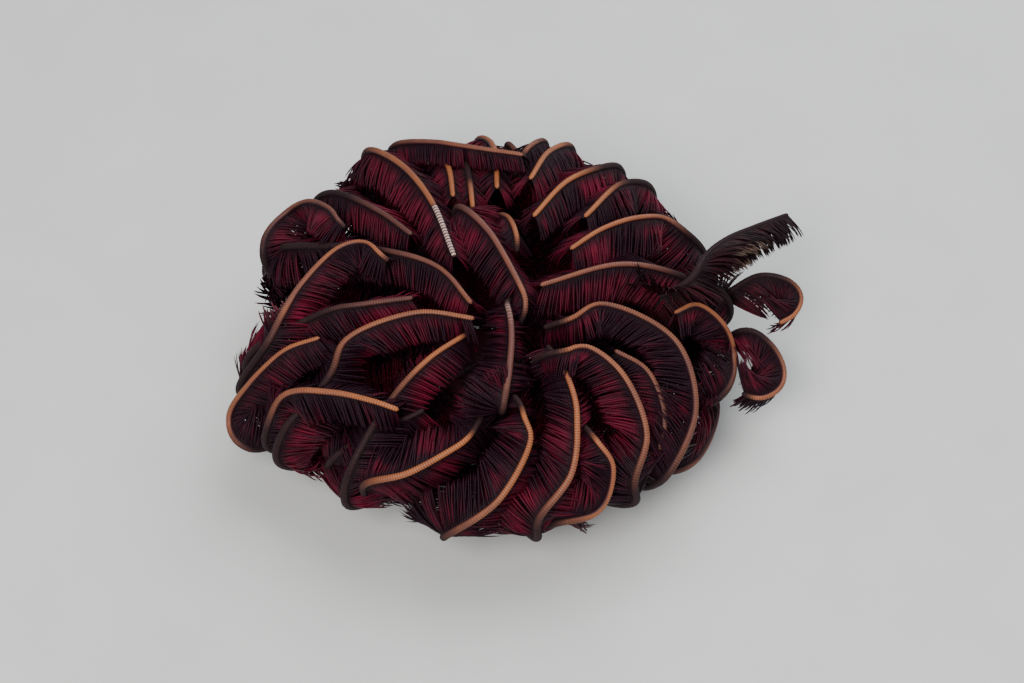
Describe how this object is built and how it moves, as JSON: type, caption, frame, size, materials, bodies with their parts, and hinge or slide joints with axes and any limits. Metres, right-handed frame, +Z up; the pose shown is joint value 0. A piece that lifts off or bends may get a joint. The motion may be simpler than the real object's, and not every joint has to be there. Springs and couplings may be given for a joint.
{
  "type": "feather star",
  "caption": "Life-size still model of a feather star curled up by day: arms arched from a small cup into a ball, fringed with pinnules, standing on short cirri",
  "frame": {"origin": "On the floor under the middle of the box round the whole animal.", "axes": "+Z up from the floor through the cup; +X to the right of the picture, the way the outflung arms reach; +Y away from the viewer."},
  "size_m": [0.193, 0.1621, 0.0735],
  "materials": {
    "arms": "orange-brown jointed ridges with dark wine-red pinnules, satin and wet",
    "cup_and_rays": "dull red-brown jointed plates, satin",
    "disc": "dark wine-red leathery skin, satin"
  },
  "bodies": {
    "root": {"centrodorsal": "cup_and_rays", "disc": "disc", "ray_1": "cup_and_rays", "ray_2": "cup_and_rays", "ray_3": "cup_and_rays", "ray_4": "cup_and_rays", "ray_5": "cup_and_rays", "arm_left_1": "arms", "arm_left_2": "arms", "arm_left_3": "arms", "arm_left_4": "arms", "arm_left_5": "arms", "arm_left_6": "arms", "arm_middle_1": "arms", "arm_middle_2": "arms", "arm_middle_3": "arms", "arm_back_1": "arms", "arm_back_2": "arms", "arm_back_3": "arms", "arm_back_4": "arms", "arm_back_5": "arms", "arm_back_6": "arms", "arm_back_7": "arms", "arm_back_8": "arms", "arm_right_1": "arms", "arm_right_2": "arms", "arm_right_3": "arms", "arm_right_4": "arms", "arm_right_5": "arms", "arm_right_6": "arms", "arm_right_7": "arms", "arm_right_8": "arms", "arm_right_9": "arms", "arm_right_10": "arms", "arm_front_1": "arms", "arm_front_2": "arms", "arm_front_3": "arms", "arm_front_4": "arms", "arm_front_5": "arms", "arm_front_6": "arms", "arm_front_7": "arms", "arm_front_8": "arms", "arm_front_9": "arms", "arm_front_10": "arms"}
  },
  "joints": []
}
